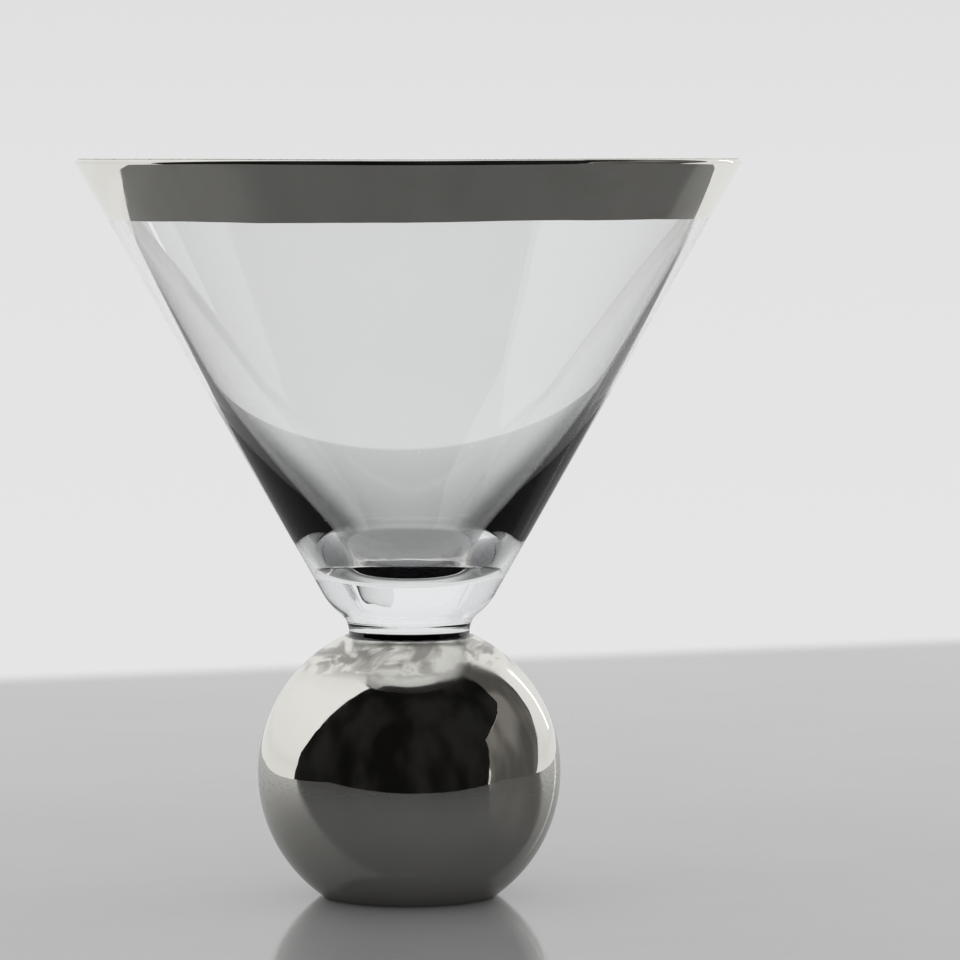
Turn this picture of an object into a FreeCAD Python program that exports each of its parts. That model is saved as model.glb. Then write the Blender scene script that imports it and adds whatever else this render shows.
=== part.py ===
import FreeCAD
import Part
import math
import os

# Martini glass on a ball foot.
#
# A clear conical bowl, thin at the lip and thick at the bottom, runs down through a rounded shoulder into a
# short solid neck. The neck is fused to the flat top of a solid glass ball. The ball is flat underneath too,
# where it stands. A bright metal film covers the ball, and a band of the same film wraps the bowl's lip.
#
# Millimetres, +Z up. The origin is the centre of the flat the glass stands on. Everything is round about Z,
# so each piece is one half section, (radius, height), turned once about that axis.

# Overall
height = 139.4
rim_diameter = 125.0
film_thickness = 0.1

# Ball foot
ball_diameter = 57.3
foot_diameter = 32.4
foot_edge_radius = 0.8
seat_diameter = 24.3
film_ground_gap = 0.25

# Bowl, outside
cone_half_angle = math.radians(29.6)
under_shoulder_angle = math.radians(50.0)
shoulder_radius = 12.0
cove_radius = 4.2
neck_diameter = 22.9
neck_length = 3.0

# Bowl, inside
lip_thickness = 1.8
knee_height = 85.0
knee_thickness = 2.6
knee_radius = 180.0
floor_edge_height = 65.0
floor_diameter = 25.2
floor_edge_radius = 1.5
floor_dish_depth = 2.4
floor_dish_radius = 22.0

# Lip and its metal band
lip_outer_radius = 0.6
lip_inner_radius = 0.8
band_height = 11.0
band_turn_in = 1.2

# What follows from those
ball_radius = ball_diameter / 2 - film_thickness
ball_centre = math.sqrt(ball_radius**2 - (foot_diameter / 2) ** 2)
seat_height = ball_centre + math.sqrt(ball_radius**2 - (seat_diameter / 2) ** 2)
neck_radius = neck_diameter / 2
cove_height = seat_height + neck_length
bowl_top = height - film_thickness
lean = math.tan(cone_half_angle)
slant = 1 / math.cos(cone_half_angle)
lip_reach = (lip_outer_radius + film_thickness) * (lean + slant - 1)
lip_radius = rim_diameter / 2 + lip_reach - film_thickness * (lean + slant)
dish_height = floor_edge_height - floor_dish_depth


def cone_radius(z):
    # Radius of the bowl's outside cone at height z.
    return lip_radius - (bowl_top - z) * lean


def vector(r, z):
    return FreeCAD.Vector(r, 0, z)


def path(corners):
    # Edges along corners (r, z) or (r, z, fillet): straight runs, with a tangent arc at each fillet.
    edges = []
    start = vector(*corners[0])
    for before, corner, after in zip(corners, corners[1:], corners[2:]):
        tip = vector(*corner[:2])
        if len(corner) == 2:
            edges.append(Part.makeLine(start, tip))
            start = tip
            continue
        back = (vector(*before[:2]) - tip).normalize()
        ahead = (vector(*after[:2]) - tip).normalize()
        half = back.getAngle(ahead) / 2
        reach = corner[2] / math.tan(half)
        middle = corner[2] / math.sin(half) - corner[2]
        arc_start = tip + back * reach
        arc_middle = tip + (back + ahead).normalize() * middle
        arc_end = tip + ahead * reach
        edges.append(Part.makeLine(start, arc_start))
        edges.append(Part.Arc(arc_start, arc_middle, arc_end).toShape())
        start = arc_end
    edges.append(Part.makeLine(start, vector(*corners[-1])))
    return edges


def turned(edges):
    section = Part.Face(Part.Wire(edges))
    return section.revolve(FreeCAD.Vector(0, 0, 0), FreeCAD.Vector(0, 0, 1), 360)


def shoulder_corner():
    # Where the slope rising from the neck would meet the outside cone if the shoulder were sharp.
    steep = math.tan(under_shoulder_angle)
    rise = (cone_radius(cove_height) - neck_radius) / (steep - lean)
    return neck_radius + rise * steep, cove_height + rise


def inner_knee():
    # Where the straight inside wall would meet the steeper taper to the floor.
    return cone_radius(knee_height) - knee_thickness, knee_height


def lip_corners(offset):
    # The lip's two sharp corners, outer then inner, for a skin offset outwards from the glass.
    knee_r, knee_z = inner_knee()
    inner_r = lip_radius - lip_thickness
    inner_angle = math.atan2(inner_r - knee_r, bowl_top - knee_z)
    outer = lip_radius + offset * (lean + slant)
    inner = inner_r + offset * (math.tan(inner_angle) - 1 / math.cos(inner_angle))
    top = bowl_top + offset
    return (outer, top, lip_outer_radius + offset), (inner, top, lip_inner_radius + offset)


def make_bowl():
    outer_lip, inner_lip = lip_corners(0)
    outline = [
        (0, seat_height),
        (neck_radius, seat_height),
        (neck_radius, cove_height, cove_radius),
        (*shoulder_corner(), shoulder_radius),
        outer_lip,
        inner_lip,
        (*inner_knee(), knee_radius),
        (floor_diameter / 2, floor_edge_height, floor_edge_radius),
        (floor_diameter / 4, dish_height, floor_dish_radius),
        (0, dish_height),
        (0, seat_height),
    ]
    return turned(path(outline))


def make_rim_band():
    # The film follows the cone up, rolls over the lip and ends just inside it.
    knee_r, knee_z = inner_knee()
    glass_outer, glass_inner = lip_corners(0)
    film_outer, film_inner = lip_corners(film_thickness)
    down = (vector(knee_r, knee_z) - vector(*glass_inner[:2])).normalize()
    glass_end = vector(*glass_inner[:2]) + down * band_turn_in
    film_end = glass_end + FreeCAD.Vector(down.z, 0, -down.x) * film_thickness
    low = height - band_height
    low_radius = cone_radius(low)
    outline = path([
        (low_radius, low),
        (low_radius + film_thickness * slant, low),
        film_outer,
        film_inner,
        (film_end.x, film_end.z),
        (glass_end.x, glass_end.z),
        glass_inner,
        glass_outer,
        (low_radius, low),
    ])
    return turned(outline)


def flat_ball(radius, top):
    # A ball cut flat at the ground and at the given top, with its lower edge eased.
    centre = FreeCAD.Vector(0, 0, ball_centre)
    slab = Part.makeBox(4 * radius, 4 * radius, top, FreeCAD.Vector(-2 * radius, -2 * radius, 0))
    ball = Part.makeSphere(radius, centre).common(slab)
    ground_edges = [e for e in ball.Edges if e.BoundBox.ZMax < 0.001 and e.Length > radius]
    return ball.makeFillet(foot_edge_radius + radius - ball_radius, ground_edges)


def make_ball():
    return flat_ball(ball_radius, seat_height)


def make_ball_plating():
    # The film covers the ball's sides and the ledge of the seat around the neck, and stops short of the ground.
    top = seat_height + film_thickness
    film = flat_ball(ball_radius + film_thickness, top).cut(make_ball())
    neck = Part.makeCylinder(neck_radius, 2 * top)
    ground = Part.makeCylinder(ball_diameter, film_ground_gap)
    return film.cut(neck).cut(ground)


parts = {
    "bowl": make_bowl,
    "ball": make_ball,
    "ball_plating": make_ball_plating,
    "rim_band": make_rim_band,
}

os.makedirs("parts", exist_ok=True)
for name, make in parts.items():
    shape = make()
    solid = shape.Solids[0]
    solid.exportStep("parts/" + name + ".step")
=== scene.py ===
import math

import bpy
import numpy as np
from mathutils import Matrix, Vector, noise


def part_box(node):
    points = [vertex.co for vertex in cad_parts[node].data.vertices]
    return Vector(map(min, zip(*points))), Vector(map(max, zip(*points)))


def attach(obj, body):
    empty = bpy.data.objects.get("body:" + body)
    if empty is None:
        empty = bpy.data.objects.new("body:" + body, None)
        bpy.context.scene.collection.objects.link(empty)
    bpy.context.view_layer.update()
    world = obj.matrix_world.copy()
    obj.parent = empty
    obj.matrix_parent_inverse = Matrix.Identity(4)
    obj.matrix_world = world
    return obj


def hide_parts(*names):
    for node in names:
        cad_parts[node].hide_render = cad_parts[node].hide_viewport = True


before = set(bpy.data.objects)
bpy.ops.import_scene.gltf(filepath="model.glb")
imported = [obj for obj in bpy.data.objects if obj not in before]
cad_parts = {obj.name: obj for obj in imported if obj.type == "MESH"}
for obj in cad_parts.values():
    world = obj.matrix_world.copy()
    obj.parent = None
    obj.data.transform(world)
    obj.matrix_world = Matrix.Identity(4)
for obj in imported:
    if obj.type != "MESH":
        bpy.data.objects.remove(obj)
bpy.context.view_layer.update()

# A clear martini glass on a mirror-plated glass ball, with a plated band round its lip.
# The frame gives the overall sizes. Everything here is in metres, with mm for the small dimensions.

mm = 0.001

# Sizes read from the frame
BOWL_LOW, BOWL_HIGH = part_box("bowl")
BALL_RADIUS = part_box("ball")[1].x
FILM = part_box("ball_plating")[1].x - BALL_RADIUS
BAND_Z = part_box("rim_band")[0].z
TOP = BOWL_HIGH.z
SEAT = BOWL_LOW.z

# Glass section, as in the frame's bowl and ball
CONE_ANGLE = math.radians(29.6)
UNDER_SHOULDER_ANGLE = math.radians(50.0)
FOOT_RADIUS = 16.2 * mm
FOOT_EDGE = 0.8 * mm
NECK_RADIUS = 11.45 * mm
NECK_FILLET = 0.5 * mm
COVE_RISE = 3.0 * mm
COVE_RADIUS = 4.2 * mm
SHOULDER_RADIUS = 12.0 * mm
LIP_OUTER = 0.6 * mm
LIP_INNER = 0.8 * mm
LIP_THICKNESS = 1.8 * mm
KNEE_Z = 85.0 * mm
KNEE_THICKNESS = 2.6 * mm
KNEE_RADIUS = 180.0 * mm
FLOOR_EDGE_Z = 65.0 * mm
FLOOR_RADIUS = 12.6 * mm
FLOOR_FILLET = 1.5 * mm
DISH_DEPTH = 2.4 * mm
DISH_RADIUS = 22.0 * mm
BAND_TURN_IN = 1.2 * mm

LEAN = math.tan(CONE_ANGLE)
SLANT = 1 / math.cos(CONE_ANGLE)
LIP_CORNER = BOWL_HIGH.x + LIP_OUTER * (LEAN + SLANT - 1)
BALL_CENTRE = math.sqrt(BALL_RADIUS**2 - FOOT_RADIUS**2)
SKIN_GAP = 0.02 * mm

# Mesh fineness
SEGMENTS = 384
LONGEST_STEP = 1.0 * mm
BODY_STEP = math.radians(4)
LIP_STEP = math.radians(6)

# Material slots of the glass
CLEAR, UNDERSIDE, BANDED = 0, 1, 2


# ---------------------------------------------------------------- sections

def cone_radius(z):
    return LIP_CORNER - (TOP - z) * LEAN


def arc(centre, radius, start, end, step):
    step = min(step, 0.8 * mm / radius)
    count = max(2, math.ceil(abs(end - start) / step))
    angles = [start + (end - start) * i / count for i in range(count + 1)]
    return [(centre[0] + radius * math.cos(a), centre[1] + radius * math.sin(a)) for a in angles]


def rounded(corners, step):
    """Points along corners (r, z) or (r, z, fillet), with each fillet as an arc."""
    points = [corners[0][:2]]
    for before, corner, after in zip(corners, corners[1:], corners[2:]):
        if len(corner) == 2:
            points.append(corner)
            continue
        tip = Vector(corner[:2])
        back = (Vector(before[:2]) - tip).normalized()
        ahead = (Vector(after[:2]) - tip).normalized()
        half = back.angle(ahead) / 2
        centre = tip + (back + ahead).normalized() * corner[2] / math.sin(half)
        reach = corner[2] / math.tan(half)
        first = tip + back * reach - centre
        last = tip + ahead * reach - centre
        start = math.atan2(first.y, first.x)
        turn = math.remainder(math.atan2(last.y, last.x) - start, 2 * math.pi)
        points += arc(centre, corner[2], start, start + turn, step)
    points.append(corners[-1][:2])
    return points


def divided(points):
    """The same outline, with no gap between points wider than LONGEST_STEP."""
    result = [points[0]]
    for a, b in zip(points, points[1:]):
        count = max(1, math.ceil(math.dist(a, b) / LONGEST_STEP))
        for i in range(1, count + 1):
            result.append((a[0] + (b[0] - a[0]) * i / count, a[1] + (b[1] - a[1]) * i / count))
    return [p for i, p in enumerate(result) if i == 0 or math.dist(p, result[i - 1]) > 1e-7]


def shoulder_corner():
    steep = math.tan(UNDER_SHOULDER_ANGLE)
    cove_z = SEAT + COVE_RISE
    rise = (cone_radius(cove_z) - NECK_RADIUS) / (steep - LEAN)
    return NECK_RADIUS + rise * steep, cove_z + rise


def knee():
    return cone_radius(KNEE_Z) - KNEE_THICKNESS, KNEE_Z


def lip_corners(offset):
    knee_r, knee_z = knee()
    inner_r = LIP_CORNER - LIP_THICKNESS
    angle = math.atan2(inner_r - knee_r, TOP - knee_z)
    outer = LIP_CORNER + offset * (LEAN + SLANT)
    inner = inner_r + offset * (math.tan(angle) - 1 / math.cos(angle))
    return (outer, TOP + offset, LIP_OUTER + offset), (inner, TOP + offset, LIP_INNER + offset)


def ball_outline(offset):
    """The ball from the edge of its ground flat up to the seat, offset outwards."""
    radius = BALL_RADIUS + offset
    edge = FOOT_EDGE + offset
    # The eased edge is an arc inside the ball that touches both the flat and the ball.
    edge_r = math.sqrt((radius - edge) ** 2 - (BALL_CENTRE - edge) ** 2)
    touch = math.atan2(edge - BALL_CENTRE, edge_r)
    seat = math.asin((SEAT - BALL_CENTRE) / radius)
    foot = arc((edge_r, edge), edge, -math.pi / 2, touch, math.radians(6))
    return foot + arc((0, BALL_CENTRE), radius, touch, seat, math.radians(1))[1:]


# ---------------------------------------------------------------- hand-made unevenness

def ease(x):
    x = min(1.0, max(0.0, x))
    return x * x * (3 - 2 * x)


def band_edge(angle):
    """How far the masked lower edge of the band strays from level, downwards negative."""
    drift = -0.45 * mm * math.sin(angle + 0.25)
    wobble = 0.07 * mm * math.sin(5 * angle + 0.9) + 0.05 * mm * math.sin(11 * angle + 2.2)
    nibble = 0.05 * mm * noise.noise(Vector((9 * math.cos(angle), 9 * math.sin(angle), 3.1)))
    return drift * math.sin(angle + 1.2) + wobble + nibble


def outer_wave(z, angle):
    """Radial stray of the blown cone's outside: slightly oval, with slow ripples left by the mould."""
    onset = ease((z - SEAT - 2 * mm) / (22 * mm))
    oval = 0.08 * mm * math.sin(2 * angle + 0.6) + 0.025 * mm * math.sin(3 * angle + 2.1 + z / (60 * mm))
    ripple = 0.005 * mm * math.sin(z / (3.4 * mm) + 1.7 * math.sin(angle) + 0.4)
    return onset * (oval + ripple)


def inner_wave(z, angle):
    """Radial stray of the cavity wall, a little different from the outside."""
    oval = 0.08 * mm * math.sin(2 * angle + 0.9) + 0.03 * mm * math.sin(3 * angle + 1.6 + z / (27 * mm))
    ripple = 0.010 * mm * math.sin(z / (4.3 * mm) + 2.3 * math.cos(angle + 0.7))
    return ease((z - FLOOR_EDGE_Z + 2 * mm) / (14 * mm)) * (oval + ripple)


def lip_wave(angle):
    """The fire-polished lip isn't quite level."""
    return 0.09 * mm * math.sin(2 * angle + 1.9) + 0.04 * mm * math.sin(5 * angle)


def stray(r, z, angle, inside):
    """Where a point (r, z) of the bowl's section really lies at this angle."""
    deep = ease((TOP - z - 2.5 * mm) / (14 * mm)) if inside else 0.0
    shift = (1 - deep) * outer_wave(z, angle) + deep * inner_wave(z, angle)
    slide = 0.0
    if not inside:
        slide = band_edge(angle) * ease(1 - abs(z - BAND_Z) / (6 * mm))
    lift = lip_wave(angle) * ease((z - TOP + 4 * mm) / (4 * mm))
    return r + shift + slide * LEAN, z + slide + lift


# ---------------------------------------------------------------- meshes

def lathe(name, outline, place, slots=None, closed=False):
    """A mesh of revolution about Z.

    place(k, r, z, angle) moves point k of the outline, and slots gives each stretch its material slot.
    """
    angles = [2 * math.pi * i / SEGMENTS for i in range(SEGMENTS)]
    verts, rings = [], []
    for k, (r, z) in enumerate(outline):
        if r < 1e-6:
            rings.append([len(verts)])
            verts.append((0, 0, z))
            continue
        rings.append(range(len(verts), len(verts) + SEGMENTS))
        for a in angles:
            moved_r, moved_z = place(k, r, z, a)
            verts.append((moved_r * math.cos(a), moved_r * math.sin(a), moved_z))
    pairs = list(zip(rings, rings[1:]))
    if closed:
        pairs.append((rings[-1], rings[0]))
    faces, numbers = [], []
    for k, (low, high) in enumerate(pairs):
        for i in range(SEGMENTS):
            j = (i + 1) % SEGMENTS
            if len(low) == 1:
                faces.append((low[0], high[j], high[i]))
            elif len(high) == 1:
                faces.append((low[i], low[j], high[0]))
            else:
                faces.append((low[i], low[j], high[j], high[i]))
            numbers.append(slots[k] if slots else 0)
    mesh = bpy.data.meshes.new(name)
    mesh.from_pydata(verts, [], faces)
    mesh.polygons.foreach_set("material_index", numbers)
    mesh.polygons.foreach_set("use_smooth", [True] * len(faces))
    mesh.update()
    if closed:
        mesh.set_sharp_from_angle(angle=math.radians(40))
    piece = bpy.data.objects.new(name, mesh)
    bpy.context.scene.collection.objects.link(piece)
    return piece


def ball_stray(r, z, angle):
    """The solid ball is very slightly out of round between the foot and the seat."""
    height = (z - BALL_CENTRE) / BALL_RADIUS
    free = ease((z - 1.5 * mm) / (8 * mm)) * ease((SEAT - z) / (6 * mm))
    swell = 0.05 * mm * math.sin(2 * angle + 0.4) + 0.03 * mm * math.sin(3 * angle + 5 * height)
    return r + free * swell


def film_ripple(r, z, angle):
    """Slow thickness ripples in the plating, stronger towards the neck where it was brushed on."""
    spot = Vector((r * math.cos(angle), r * math.sin(angle), z)) / mm
    neckward = ease((z - SEAT + 9 * mm) / (6 * mm))
    slow = 0.016 * mm * noise.noise(spot / 11) + 0.004 * mm * noise.noise(spot / 4.5)
    smear = 0.080 * mm * neckward * noise.noise(Vector((spot.x / 6, spot.y / 6, spot.z / 3.0)))
    return slow + smear


def glass_outline():
    """The glass's half section: up the outside from the ground flat, and in to the cavity floor."""
    outer, inner = lip_corners(0)
    lip_middle = (outer[0] - LIP_THICKNESS / 2, TOP)
    ball = ball_outline(0)
    outside = rounded([
        ball[-1],
        (NECK_RADIUS, SEAT, NECK_FILLET),
        (NECK_RADIUS, SEAT + COVE_RISE, COVE_RADIUS),
        (*shoulder_corner(), SHOULDER_RADIUS),
        (cone_radius(BAND_Z), BAND_Z),
        outer,
        lip_middle,
    ], BODY_STEP)
    dish_z = FLOOR_EDGE_Z - DISH_DEPTH
    inside = rounded([
        lip_middle,
        inner,
        (*knee(), KNEE_RADIUS),
        (FLOOR_RADIUS, FLOOR_EDGE_Z, FLOOR_FILLET),
        (FLOOR_RADIUS / 2, dish_z, DISH_RADIUS),
        (0, dish_z),
    ], BODY_STEP)
    return divided([(0, 0)] + ball + outside[1:]), divided(inside)[1:]


def make_glass():
    outside, inside = glass_outline()
    outline = outside + inside
    last_outside = len(outside) - 1
    slots = []
    for k, (a, b) in enumerate(zip(outline, outline[1:])):
        mid_z = (a[1] + b[1]) / 2
        on_ball = mid_z < SEAT + 0.01 * mm
        banded = k < last_outside and mid_z > BAND_Z
        slots.append(UNDERSIDE if on_ball else BANDED if banded else CLEAR)

    def place(k, r, z, angle):
        if z <= SEAT:
            return ball_stray(r, z, angle), z
        return stray(r, z, angle, k > last_outside)

    return lathe("bowl_and_ball_glass", outline, place, slots)


def make_plating():
    outside = divided(ball_outline(FILM))
    inside = divided(ball_outline(SKIN_GAP))

    def place(k, r, z, angle):
        ripple = film_ripple(r, z, angle) if k < len(outside) else 0.0
        return ball_stray(r, z, angle) + ripple, z

    return lathe("ball_plating_mirror", outside + inside[::-1], place, closed=True)


def make_band():
    """A closed skin: up the outside, over the lip and down, then back up the inside against the glass."""
    outer, inner = lip_corners(FILM)
    glass_outer, glass_inner = lip_corners(SKIN_GAP)
    film_middle = (outer[0] - LIP_THICKNESS / 2, TOP + FILM)
    glass_middle = (glass_outer[0] - LIP_THICKNESS / 2, TOP + SKIN_GAP)
    down = (Vector(knee()) - Vector(glass_inner[:2])).normalized()
    end = Vector(glass_inner[:2]) + down * BAND_TURN_IN
    film_end = end + Vector((down.y, -down.x)) * (FILM - SKIN_GAP)
    low_r = cone_radius(BAND_Z)
    outside = divided(rounded([(low_r + FILM * SLANT, BAND_Z), outer, film_middle], LIP_STEP))
    over = divided(rounded([film_middle, inner, tuple(film_end)], LIP_STEP))[1:]
    under = divided(rounded([tuple(end), glass_inner, glass_middle], LIP_STEP))
    inside = divided(rounded([glass_middle, glass_outer, (low_r + SKIN_GAP * SLANT, BAND_Z)], LIP_STEP))[1:]
    first_over = len(outside)
    first_inside = first_over + len(over) + len(under)

    def place(k, r, z, angle):
        return stray(r, z, angle, first_over <= k < first_inside)

    return lathe("rim_band_mirror", outside + over + under + inside, place, closed=True)


# ---------------------------------------------------------------- materials

def new_material(name):
    material = bpy.data.materials.new(name)
    material.use_nodes = True
    nodes = material.node_tree.nodes
    return material, nodes, material.node_tree.links, nodes["Principled BSDF"]


def object_coordinates(nodes, links, stretch=(1, 1, 1)):
    """Object coordinates in metres, stretched along the axes."""
    where = nodes.new("ShaderNodeTexCoord")
    mapping = nodes.new("ShaderNodeMapping")
    mapping.inputs["Scale"].default_value = stretch
    links.new(where.outputs["Object"], mapping.inputs["Vector"])
    return mapping.outputs["Vector"]


def noise_at(nodes, links, vector, scale, detail=3.0, distortion=0.0):
    texture = nodes.new("ShaderNodeTexNoise")
    texture.inputs["Scale"].default_value = scale
    texture.inputs["Detail"].default_value = detail
    texture.inputs["Distortion"].default_value = distortion
    links.new(vector, texture.inputs["Vector"])
    return texture.outputs["Fac"]


def remap(nodes, links, value, low, high, to_low, to_high):
    node = nodes.new("ShaderNodeMapRange")
    node.interpolation_type = "SMOOTHSTEP"
    node.inputs["From Min"].default_value = low
    node.inputs["From Max"].default_value = high
    node.inputs["To Min"].default_value = to_low
    node.inputs["To Max"].default_value = to_high
    links.new(value, node.inputs["Value"])
    return node.outputs["Result"]


def combine(nodes, links, operation, a, b):
    node = nodes.new("ShaderNodeMath")
    node.operation = operation
    links.new(a, node.inputs[0])
    links.new(b, node.inputs[1])
    return node.outputs["Value"]


def ramp(nodes, links, value, stops):
    node = nodes.new("ShaderNodeValToRGB")
    elements = node.color_ramp.elements
    elements[0].position, elements[0].color = stops[0][0], (*stops[0][1], 1)
    elements[1].position, elements[1].color = stops[-1][0], (*stops[-1][1], 1)
    for position, colour in stops[1:-1]:
        elements.new(position).color = (*colour, 1)
    links.new(value, node.inputs["Fac"])
    return node.outputs["Color"]


def add_bump(nodes, links, shader, height, strength, distance):
    bump = nodes.new("ShaderNodeBump")
    bump.inputs["Strength"].default_value = strength
    bump.inputs["Distance"].default_value = distance
    links.new(height, bump.inputs["Height"])
    links.new(bump.outputs["Normal"], shader.inputs["Normal"])


def make_glass_material():
    material, nodes, links, shader = new_material("clear_glass")
    shader.inputs["IOR"].default_value = 1.5
    shader.inputs["Transmission Weight"].default_value = 1.0
    where = object_coordinates(nodes, links)
    # Faint smudges left by handling, and a few specks of lint.
    smudge = noise_at(nodes, links, where, 42, 4, 0.8)
    haze = remap(nodes, links, smudge, 0.55, 0.78, 0.0, 0.014)
    lint = noise_at(nodes, links, where, 900, 1)
    speck = remap(nodes, links, lint, 0.77, 0.80, 0.0, 0.25)
    links.new(combine(nodes, links, "ADD", haze, speck), shader.inputs["Roughness"])
    tint = noise_at(nodes, links, where, 18, 2)
    tints = [(0.3, (0.985, 0.992, 0.992)), (0.7, (1, 1, 1))]
    links.new(ramp(nodes, links, tint, tints), shader.inputs["Base Color"])
    # Very slow unevenness of the blown surface.
    cords = noise_at(nodes, links, object_coordinates(nodes, links, (1, 1, 2.6)), 55, 1.5)
    add_bump(nodes, links, shader, cords, 0.05, 0.1 * mm)
    volume = nodes.new("ShaderNodeVolumeAbsorption")
    volume.inputs["Color"].default_value = (0.78, 0.82, 0.86, 1)
    volume.inputs["Density"].default_value = 6.0
    links.new(volume.outputs["Volume"], nodes["Material Output"].inputs["Volume"])
    return material


def make_silver_material(name, cloud_scale, worn_low, worn_high):
    """Bright film, unworn at height worn_low and fully worn from worn_high on."""
    material, nodes, links, shader = new_material(name)
    shader.inputs["Metallic"].default_value = 1.0
    where = object_coordinates(nodes, links)
    height = nodes.new("ShaderNodeSeparateXYZ")
    links.new(where, height.inputs["Vector"])
    worn = remap(nodes, links, height.outputs["Z"], worn_low, worn_high, 0.0, 1.0)
    # Cloudy patches in the plating, denser where it is worn.
    cloud = noise_at(nodes, links, where, cloud_scale, 5, 1.4)
    patches = remap(nodes, links, cloud, 0.42, 0.74, 0.0, 0.55)
    brushed = noise_at(nodes, links, object_coordinates(nodes, links, (1, 1, 2.2)), 95, 4, 1.5)
    brush_marks = remap(nodes, links, brushed, 0.36, 0.62, 0.25, 1.0)
    smears = combine(nodes, links, "MULTIPLY", worn, brush_marks)
    dull = combine(nodes, links, "MAXIMUM", patches, smears)
    colours = [(0.0, (0.85, 0.84, 0.79)), (0.5, (0.78, 0.77, 0.72)), (1.0, (0.34, 0.325, 0.30))]
    links.new(ramp(nodes, links, dull, colours), shader.inputs["Base Color"])
    # Fingerprint haze and fine rubbing marks roughen it.
    print_haze = noise_at(nodes, links, where, 95, 6, 0.5)
    haze = remap(nodes, links, print_haze, 0.48, 0.75, 0.018, 0.07)
    rubbed = remap(nodes, links, dull, 0.2, 1.0, 0.0, 0.20)
    scuffs = remap(nodes, links, worn, 0.0, 1.0, 0.0, 0.16)
    scuffed = combine(nodes, links, "MAXIMUM", rubbed, scuffs)
    links.new(combine(nodes, links, "ADD", haze, scuffed), shader.inputs["Roughness"])
    grain = noise_at(nodes, links, where, 420, 3)
    add_bump(nodes, links, shader, grain, 0.05, 0.05 * mm)
    return material


def make_underside_material():
    """The ball's film seen from inside the glass: a dim navy sheen."""
    material, nodes, links, shader = new_material("film_underside")
    shader.inputs["Metallic"].default_value = 1.0
    where = object_coordinates(nodes, links)
    cloud = noise_at(nodes, links, where, 60, 4, 0.6)
    colours = [(0.3, (0.10, 0.11, 0.15)), (0.7, (0.22, 0.23, 0.28))]
    links.new(ramp(nodes, links, cloud, colours), shader.inputs["Base Color"])
    links.new(remap(nodes, links, cloud, 0.3, 0.7, 0.06, 0.14), shader.inputs["Roughness"])
    return material


# ---------------------------------------------------------------- studio

# The table's far edge is turned by TABLE_TURN, at TABLE_FAR from the glass. The glass and the metal see a
# smaller board than the camera does.
TABLE_CORNERS = [(-0.30, -0.175), (0.52, -0.150), (0.20, 0.513), (-0.262, 0.340)]
WIDE_CORNERS = [(-1.2, -1.2), (1.2, -1.2), (1.2, 0.886), (-1.2, -0.011)]
TABLE_TURN = math.radians(20.5)
TABLE_FAR = 0.410
BOARD_GAP = 0.1 * mm

# Dark screens round the glass stand on spheres of about this radius.
FLAG_RADIUS = 2.0
FLAG_STRAY = 2.0

CAMERA_DISTANCE = 0.905
CAMERA_PITCH = math.radians(3.82)
CAMERA_YAW = math.radians(0.848)


def set_visible(piece, camera=True, diffuse=True, glossy=True, transmission=True, shadow=True):
    piece.visible_camera = camera
    piece.visible_diffuse = diffuse
    piece.visible_glossy = glossy
    piece.visible_transmission = transmission
    piece.visible_shadow = shadow


def stage_mesh(name, verts, faces, material):
    mesh = bpy.data.meshes.new(name)
    mesh.from_pydata(verts, [], faces)
    mesh.materials.append(material)
    piece = bpy.data.objects.new(name, mesh)
    bpy.context.scene.collection.objects.link(piece)
    return piece


def board(name, z, material, corners=TABLE_CORNERS):
    return stage_mesh(name, [(x, y, z) for x, y in corners], [tuple(range(len(corners)))], material)


def make_table_material(name, base, coat, soft, polish=0.05):
    """A smooth board that fades out over the last of its far edge, by the length soft."""
    material, nodes, links, shader = new_material(name)
    shader.inputs["IOR"].default_value = 1.5
    shader.inputs["Specular IOR Level"].default_value = coat
    where = object_coordinates(nodes, links)
    mottle = noise_at(nodes, links, where, 14, 4)
    dark = tuple(0.93 * c for c in base)
    links.new(ramp(nodes, links, mottle, [(0.35, dark), (0.65, base)]), shader.inputs["Base Color"])
    sheen = noise_at(nodes, links, where, 60, 3)
    links.new(remap(nodes, links, sheen, 0.3, 0.7, polish, 1.8 * polish), shader.inputs["Roughness"])
    turned = nodes.new("ShaderNodeVectorRotate")
    turned.rotation_type = "Z_AXIS"
    turned.inputs["Angle"].default_value = -TABLE_TURN
    links.new(where, turned.inputs["Vector"])
    axes = nodes.new("ShaderNodeSeparateXYZ")
    links.new(turned.outputs["Vector"], axes.inputs["Vector"])
    solid = remap(nodes, links, axes.outputs["Y"], TABLE_FAR - soft, TABLE_FAR, 1.0, 0.0)
    links.new(solid, shader.inputs["Alpha"])
    return material


def add_pool_of_light(material, near_glow, far_glow):
    """A soft wedge of light behind the glass, widening and brightening towards the far edge."""
    nodes, links = material.node_tree.nodes, material.node_tree.links
    axes = nodes.new("ShaderNodeSeparateXYZ")
    links.new(object_coordinates(nodes, links), axes.inputs["Vector"])
    depth = nodes.new("ShaderNodeMath")
    depth.operation = "MAXIMUM"
    links.new(axes.outputs["Y"], depth.inputs[0])
    depth.inputs[1].default_value = 0.01
    aside = nodes.new("ShaderNodeMath")
    aside.operation = "ABSOLUTE"
    links.new(axes.outputs["X"], aside.inputs[0])
    spread = combine(nodes, links, "DIVIDE", aside.outputs["Value"], depth.outputs["Value"])
    across = remap(nodes, links, spread, 0.16, 0.32, 1.0, 0.0)
    along = remap(nodes, links, axes.outputs["Y"], 0.03, 0.30, near_glow, far_glow)
    shader = nodes["Principled BSDF"]
    shader.inputs["Emission Color"].default_value = (1, 1, 1, 1)
    links.new(combine(nodes, links, "MULTIPLY", across, along), shader.inputs["Emission Strength"])


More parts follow.
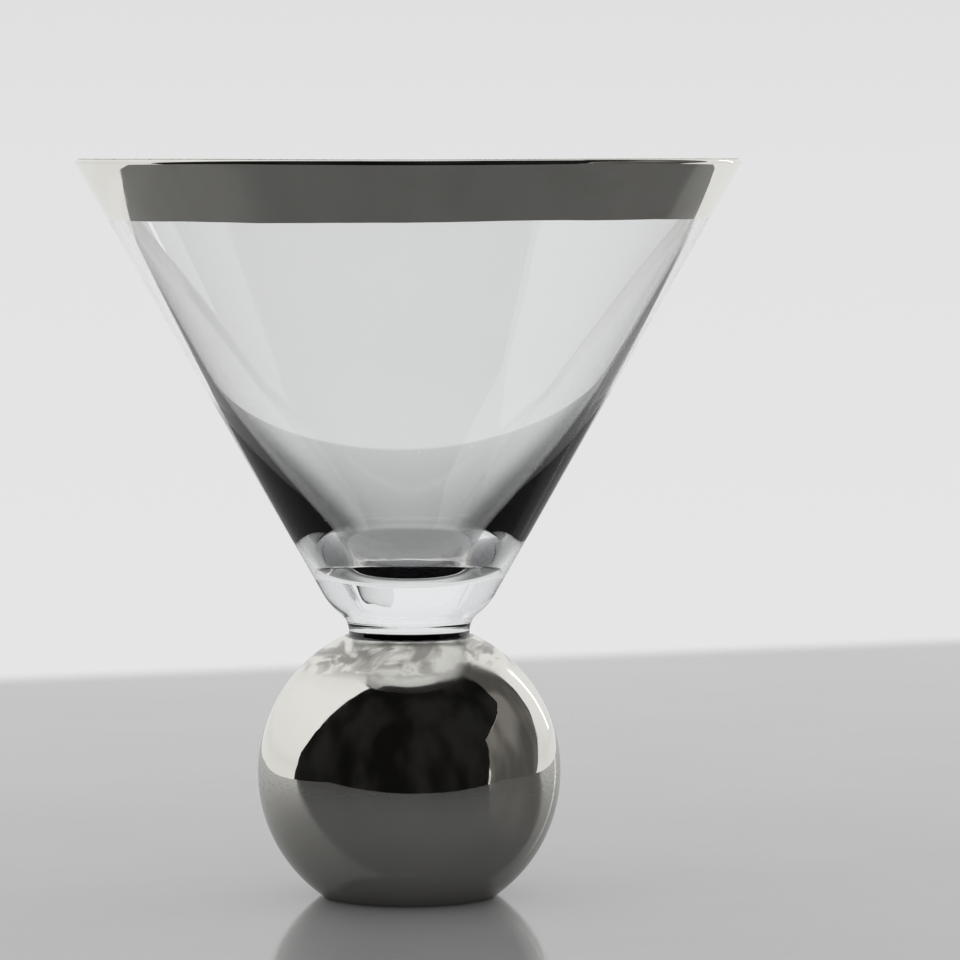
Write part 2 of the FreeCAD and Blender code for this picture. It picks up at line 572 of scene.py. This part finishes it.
def make_flag_material(name, low_glow, high_glow, colour=(1, 0.98, 0.95)):
    """A screen of a soft, slightly uneven glow from low_glow to high_glow."""
    material, nodes, links, shader = new_material(name)
    shader.inputs["Base Color"].default_value = (0, 0, 0, 1)
    shader.inputs["Specular IOR Level"].default_value = 0.0
    shader.inputs["Emission Color"].default_value = (*colour, 1)
    where = object_coordinates(nodes, links, (1.0, 1.0, 0.5))
    blocks = noise_at(nodes, links, where, 1.1, 2)
    glow = remap(nodes, links, blocks, 0.40, 0.66, low_glow, high_glow)
    links.new(glow, shader.inputs["Emission Strength"])
    return material


def between(el, stops):
    """Linear interpolation through (elevation, azimuth) stops, all in degrees."""
    return float(np.interp(el, [s[0] for s in stops], [s[1] for s in stops]))


def dome_patch(name, left, right, el_from, el_to, radius, material, ragged=0.0):
    """A patch of a sphere round the glass. Azimuth is from the front, positive to the right.

    left and right are lists of (elevation, azimuth) stops, and ragged strays their edges by some degrees.
    """
    columns, rows = 36, 48
    stray_scale = 7
    verts, faces = [], []
    for j in range(rows + 1):
        el = el_from + (el_to - el_from) * j / rows
        stray_left = ragged * noise.noise(Vector((el / stray_scale, 1.3, 0)))
        stray_right = ragged * noise.noise(Vector((el / stray_scale, 8.9, 0)))
        a0 = between(el, left) + stray_left
        a1 = between(el, right) + stray_right
        for i in range(columns + 1):
            az = math.radians(a0 + (a1 - a0) * i / columns)
            flat = radius * math.cos(math.radians(el))
            up = radius * math.sin(math.radians(el))
            verts.append((flat * math.sin(az), -flat * math.cos(az), up))
    for j in range(rows):
        for i in range(columns):
            a = j * (columns + 1) + i
            faces.append((a, a + 1, a + columns + 2, a + columns + 1))
    return stage_mesh(name, verts, faces, material)


# Edges of the dark front, and of the half-dark side to its right
DARK_LEFT = [(-85, -100), (-30, -100), (0, -97), (36, -79), (63, -69), (78, -50)]
DARK_RIGHT = [(-85, 60), (-11, 62), (25, 66), (36, 98), (60, 105), (78, 90)]
DIM_RIGHT = [(-60, 108), (-7, 110), (19, 127), (33, 132), (60, 132)]


def make_flags():
    black = make_flag_material("flag_black", 0.005, 0.016)
    smoky = make_flag_material("flag_smoky", 0.028, 0.045)
    dim = make_flag_material("flag_dim", 0.08, 0.20, (1, 0.95, 0.91))
    lamp = make_flag_material("strip_light", 2.2, 3.0)
    front = dome_patch("flag_front", DARK_LEFT, DARK_RIGHT, -85, 78, FLAG_RADIUS, black, FLAG_STRAY)
    set_visible(front, camera=False, diffuse=False, transmission=False, shadow=False)
    # The same screen seen through the glass is a little lighter, and stays above the table.
    through = dome_patch("flag_through_glass", DARK_LEFT, DARK_RIGHT, 4, 78, FLAG_RADIUS, smoky, FLAG_STRAY)
    set_visible(through, camera=False, diffuse=False, glossy=False, shadow=False)
    side = dome_patch("flag_dim_side", DARK_RIGHT, DIM_RIGHT, -40, 60, FLAG_RADIUS + 0.05, dim, FLAG_STRAY)
    set_visible(side, camera=False, diffuse=False, transmission=False, shadow=False)
    strip = dome_patch("strip_light", [(0, 146)], [(0, 148.5)], 4, 24, FLAG_RADIUS - 0.05, lamp)
    set_visible(strip, camera=False, diffuse=False, transmission=False, shadow=False)


def make_tables():
    pale = make_table_material("table", (0.37, 0.37, 0.375), 0.40, 0.035)
    table = board("table", 0, pale, WIDE_CORNERS)
    set_visible(table, diffuse=False, glossy=False, transmission=False, shadow=False)
    # The mirror-bright ball and band see a greyer copy of the board, painted shade for the table lit less
    # in front, so that they read against it.
    painted_shade_grey = make_table_material("table_grey_painted_shade", (0.14, 0.14, 0.14), 0.40, 0.02, 0.14)
    mirrored = board("table_in_mirror", -BOARD_GAP, painted_shade_grey)
    set_visible(mirrored, camera=False, diffuse=False, transmission=False, shadow=False)
    # Seen through the glass the board is a dark glossy copy, painted shade for the table round the glass,
    # with a painted pool of light added; it draws the glass's edges.
    shade_and_pool_board = make_table_material("table_gloss_painted_shade", (0.02, 0.02, 0.021), 0.5, 0.02)
    add_pool_of_light(shade_and_pool_board, 0.10, 0.36)
    under = board("table_through_glass", BOARD_GAP, shade_and_pool_board)
    set_visible(under, camera=False, diffuse=False, glossy=False, shadow=False)


def make_world():
    world = bpy.data.worlds.new("studio")
    bpy.context.scene.world = world
    world.use_nodes = True
    nodes, links = world.node_tree.nodes, world.node_tree.links
    where = nodes.new("ShaderNodeTexCoord")
    axes = nodes.new("ShaderNodeSeparateXYZ")
    links.new(where.outputs["Generated"], axes.inputs["Vector"])
    up = nodes.new("ShaderNodeMapRange")
    up.inputs["From Min"].default_value = -0.5
    up.inputs["From Max"].default_value = 0.5
    links.new(axes.outputs["Z"], up.inputs["Value"])
    # Brightness from straight down (0) through the horizon (0.5) to straight up (1)
    stops = [(0.0, 0.84), (0.40, 0.785), (0.50, 0.765), (0.535, 0.745), (0.60, 0.80), (1.0, 0.86)]
    sky = ramp(nodes, links, up.outputs["Result"], [(p, (v, v, v)) for p, v in stops])
    links.new(sky, nodes["Background"].inputs["Color"])


def make_camera():
    data = bpy.data.cameras.new("camera")
    data.lens = 180
    data.sensor_width = 36
    data.clip_start = 0.01
    data.clip_end = 100
    camera = bpy.data.objects.new("camera", data)
    bpy.context.scene.collection.objects.link(camera)
    camera.location = (0, -CAMERA_DISTANCE, TOP)
    camera.rotation_euler = (math.pi / 2 - CAMERA_PITCH, 0, -CAMERA_YAW)
    bpy.context.scene.camera = camera


glass_material = make_glass_material()
ball_silver = make_silver_material("silver_film", 30, SEAT - 10 * mm, SEAT - 3 * mm)
film_underside = make_underside_material()
band_silver = make_silver_material("silver_band", 45, BAND_Z + 0.2 * mm, BAND_Z - 1.5 * mm)

glass = make_glass()
glass.data.materials.append(glass_material)
glass.data.materials.append(film_underside)
glass.data.materials.append(band_silver)
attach(glass, "root")
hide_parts("bowl", "ball")

plating = make_plating()
plating.data.materials.append(ball_silver)
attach(plating, "root")
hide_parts("ball_plating")

band = make_band()
band.data.materials.append(band_silver)
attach(band, "root")
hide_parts("rim_band")

make_tables()
make_flags()
make_world()
make_camera()
bpy.context.scene.view_settings.view_transform = "Standard"


def corners(bounds):
    return [list(bounds[0]), list(bounds[1])]
